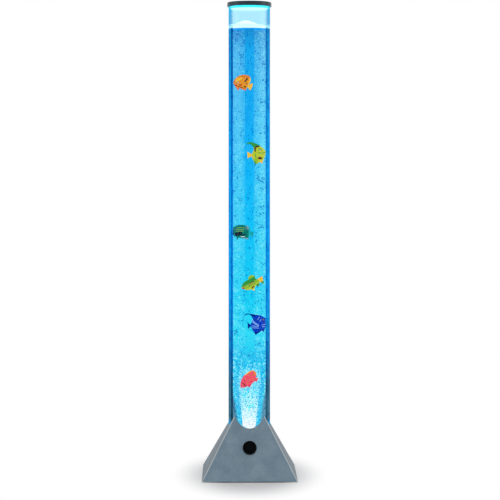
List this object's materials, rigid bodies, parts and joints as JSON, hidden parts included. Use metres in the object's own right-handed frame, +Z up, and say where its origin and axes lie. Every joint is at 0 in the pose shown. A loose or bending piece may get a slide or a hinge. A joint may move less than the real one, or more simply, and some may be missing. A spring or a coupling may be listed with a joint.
{
  "type": "bubble tube floor lamp",
  "caption": "Floor-standing water column lamp: clear tube of bubbling water with loose fish on a pyramid base that holds the air pump, colour light ring and push button.",
  "frame": {"origin": "on the floor, under the middle of the base", "axes": "+Z up along the tube, +X to the right seen from the front, the button faces -Y"},
  "size_m": [0.23, 0.23, 1.159],
  "materials": {
    "housing": "slate grey, fine metallic, satin, on a moulded shell",
    "cap": "satin dark slate",
    "clear": "clear polished acrylic",
    "white_plastic": "moulded",
    "black_plastic": "moulded",
    "button_black": "satin black",
    "rubber": "matte",
    "hose": "soft, milky",
    "steel": "plated",
    "screw": "zinc plated",
    "board": "printed board",
    "lamps": "light-emitting lamps",
    "orange": "moulded, painted",
    "yellow": "moulded, painted",
    "teal": "moulded, painted",
    "green": "moulded, painted",
    "blue": "moulded, painted",
    "pink": "moulded, painted"
  },
  "bodies": {
    "lamp": {"base_housing": "housing", "base_plate": "black_plastic", "rubber_feet": "rubber", "plate_screws": "screw", "tube_cradle": "white_plastic", "cradle_screws": "screw", "tube_cushion": "rubber", "tube_floor": "clear", "clear_tube": "clear", "air_nozzle": "white_plastic", "nozzle_seal": "rubber", "nozzle_nut": "black_plastic", "nozzle_hose": "hose", "check_valve": "white_plastic", "pump_hose": "hose", "pump_head": "black_plastic", "pump_motor": "steel", "pump_pad": "rubber", "pump_strap": "steel", "strap_screws": "screw", "led_board": "board", "led_lamps": "lamps", "led_spacers": "white_plastic", "led_screws": "screw", "control_board": "board", "board_spacers": "white_plastic", "board_screws": "screw", "board_components": "black_plastic", "power_jack": "black_plastic", "jack_nut": "steel", "button_bezel": "button_black", "bezel_nut": "black_plastic", "push_switch": "black_plastic", "switch_board": "board", "switch_screws": "screw"},
    "cap": {"cap_shell": "cap", "cap_liner": "white_plastic"},
    "button": {"button_plunger": "button_black"},
    "orange_fish": {"orange_fish": "orange"},
    "yellow_fish": {"yellow_fish": "yellow"},
    "teal_fish": {"teal_fish": "teal"},
    "green_fish": {"green_fish": "green"},
    "blue_fish": {"blue_fish": "blue"},
    "pink_fish": {"pink_fish": "pink"}
  },
  "joints": [
    {"name": "cap_lift", "type": "slide", "parent": "lamp", "child": "cap", "axis": [0, 0, 1], "range_m": [0, 0.1]},
    {"name": "button_press", "type": "slide", "parent": "lamp", "child": "button", "axis": [0, 0.8794, -0.4761], "range_m": [0, 0.002], "stiffness_N_per_m": 600, "springref_m": -0.0015},
    {"name": "orange_fish_drift", "type": "slide", "parent": "lamp", "child": "orange_fish", "axis": [0, 0, 1], "range_m": [-0.055, 0.105]},
    {"name": "yellow_fish_drift", "type": "slide", "parent": "lamp", "child": "yellow_fish", "axis": [0, 0, 1], "range_m": [-0.065, 0.055]},
    {"name": "teal_fish_drift", "type": "slide", "parent": "lamp", "child": "teal_fish", "axis": [0, 0, 1], "range_m": [-0.036, 0.065]},
    {"name": "green_fish_drift", "type": "slide", "parent": "lamp", "child": "green_fish", "axis": [0, 0, 1], "range_m": [-0.024, 0.036]},
    {"name": "blue_fish_drift", "type": "slide", "parent": "lamp", "child": "blue_fish", "axis": [0, 0, 1], "range_m": [-0.036, 0.022]},
    {"name": "pink_fish_drift", "type": "slide", "parent": "lamp", "child": "pink_fish", "axis": [0, 0, 1], "range_m": [-0.13, 0.036]}
  ]
}
